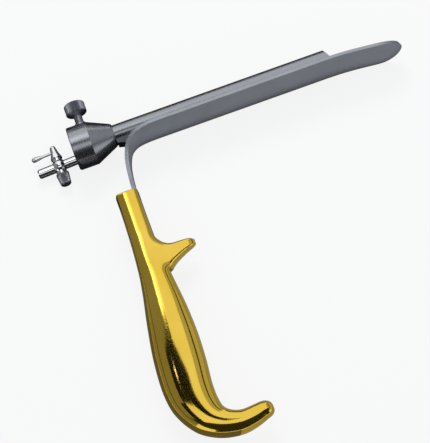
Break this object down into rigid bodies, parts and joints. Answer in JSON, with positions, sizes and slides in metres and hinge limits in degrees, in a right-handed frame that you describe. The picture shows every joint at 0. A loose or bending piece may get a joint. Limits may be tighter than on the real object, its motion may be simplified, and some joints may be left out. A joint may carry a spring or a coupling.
{
  "type": "endoscopic retractor",
  "caption": "Hand-held surgical retractor with a pistol grip, a long curved blade, an endoscope tube with a screw clamp, and a side stopcock.",
  "frame": {"origin": "centre of the endoscope bore on the rear face of the clamp housing", "axes": "+X along the tube towards the blade tip, +Y away from the grip, +Z the side that faces up when the instrument lies on a table"},
  "size_m": [0.2361, 0.2362, 0.0278],
  "materials": {
    "gold": "polished gold plate",
    "satin_steel": "satin, cool grey",
    "polished_steel": "mirror polished",
    "matte_steel": "matte, knurled",
    "seal_rubber": "matte silicone",
    "pad_plastic": "turned plastic"
  },
  "bodies": {
    "frame": {"handle_half_near": "gold", "handle_half_far": "gold", "blade": "satin_steel", "scope_tube": "satin_steel", "tube_saddle": "satin_steel", "clamp_housing": "satin_steel", "scope_seal": "seal_rubber", "seal_retainer": "satin_steel", "screw_bush": "satin_steel", "port_tube": "polished_steel", "cock_body": "polished_steel", "rear_nipple": "polished_steel"},
    "pad": {"pressure_pad": "pad_plastic"},
    "screw": {"thumb_screw": "satin_steel"},
    "plug": {"cock_plug": "polished_steel", "stop_pin": "polished_steel", "cock_hub": "polished_steel", "cock_lever": "polished_steel", "cock_washer": "polished_steel", "cock_spring": "matte_steel", "cock_nut": "matte_steel"}
  },
  "joints": [
    {"name": "pad_slide", "type": "slide", "parent": "frame", "child": "pad", "axis": [0, -1, 0], "range_m": [0, 0.0012]},
    {"name": "screw_turn", "type": "hinge", "parent": "pad", "child": "screw", "pos_m": [0.0092, 0, 0], "axis": [0, -1, 0], "range_deg": [0, 620]},
    {"name": "lever_turn", "type": "hinge", "parent": "frame", "child": "plug", "pos_m": [-0.0114, -0.0035, -0.0095], "axis": [-0.0436, 0.999, 0], "range_deg": [0, 90]}
  ],
  "couplings": [
    {"joint": "screw_turn", "follows": "pad_slide", "rad_per_m": 8976}
  ]
}
